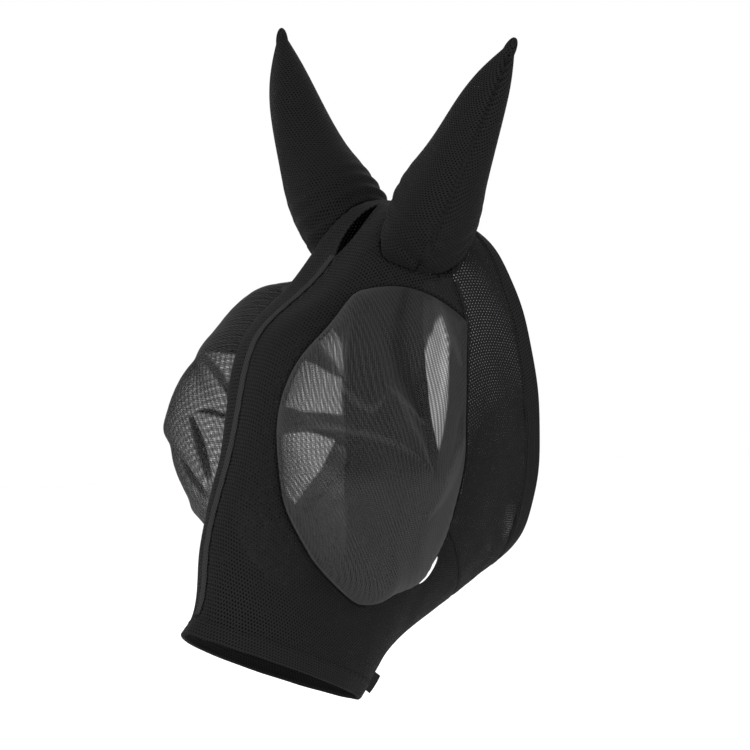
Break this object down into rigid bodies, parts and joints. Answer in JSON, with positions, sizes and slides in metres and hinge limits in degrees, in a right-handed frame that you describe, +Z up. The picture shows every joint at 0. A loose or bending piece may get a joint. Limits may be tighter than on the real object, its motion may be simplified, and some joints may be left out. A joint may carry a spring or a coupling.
{
  "type": "horse fly mask",
  "caption": "Black stretch air-mesh pull-on horse fly mask with covered ears, domed gauze eye covers and a forelock slot",
  "frame": {"origin": "the poll: the crown of the hood in the centre plane, between the ears, where the mask hangs on the head", "axes": "+Z up, the horse looks along -Y, +X is the horse's left side"},
  "size_m": [0.3876, 0.3581, 0.6333],
  "materials": {
    "air_mesh_black": "matte stretch air mesh with small open cells",
    "gauze_black": "thin see-through gauze",
    "tape_black": "matte woven tape and knitted elastic",
    "label_black": "tightly woven, slightly smooth",
    "mark_white": "flexible print on cloth"
  },
  "bodies": {
    "hood": {"face_seam_tape": "tape_black", "forelock_slot_binding": "tape_black", "jaw_label": "label_black", "jaw_seam_tape": "tape_black", "left_ear_binding": "tape_black", "left_eye_binding": "tape_black", "left_eye_cover": "gauze_black", "left_face_panel": "air_mesh_black", "left_jowl_panel": "air_mesh_black", "left_lower_jowl_tape": "tape_black", "left_upper_jowl_tape": "tape_black", "neck_elastic": "tape_black", "neck_hem": "air_mesh_black", "nose_elastic": "tape_black", "nose_hem": "air_mesh_black", "poll_seam_tape": "tape_black", "printed_mark": "mark_white", "right_ear_binding": "tape_black", "right_eye_binding": "tape_black", "right_eye_cover": "gauze_black", "right_face_panel": "air_mesh_black", "right_jowl_panel": "air_mesh_black", "right_lower_jowl_tape": "tape_black", "right_upper_jowl_tape": "tape_black"},
    "left_ear": {"left_ear": "air_mesh_black", "left_ear_seam_tape": "tape_black"},
    "right_ear": {"right_ear": "air_mesh_black", "right_ear_seam_tape": "tape_black"}
  },
  "joints": [
    {"name": "left_ear_tilt", "type": "hinge", "parent": "hood", "child": "left_ear", "pos_m": [0.05741, 0.01508, -0.03368], "axis": [0.8195, -0.028, -0.5724], "range_deg": [-6, 6], "stiffness_Nm_per_rad": 0.3},
    {"name": "right_ear_tilt", "type": "hinge", "parent": "hood", "child": "right_ear", "pos_m": [-0.05741, 0.01508, -0.03368], "axis": [0.8195, 0.028, 0.5724], "range_deg": [-6, 6], "stiffness_Nm_per_rad": 0.3}
  ]
}
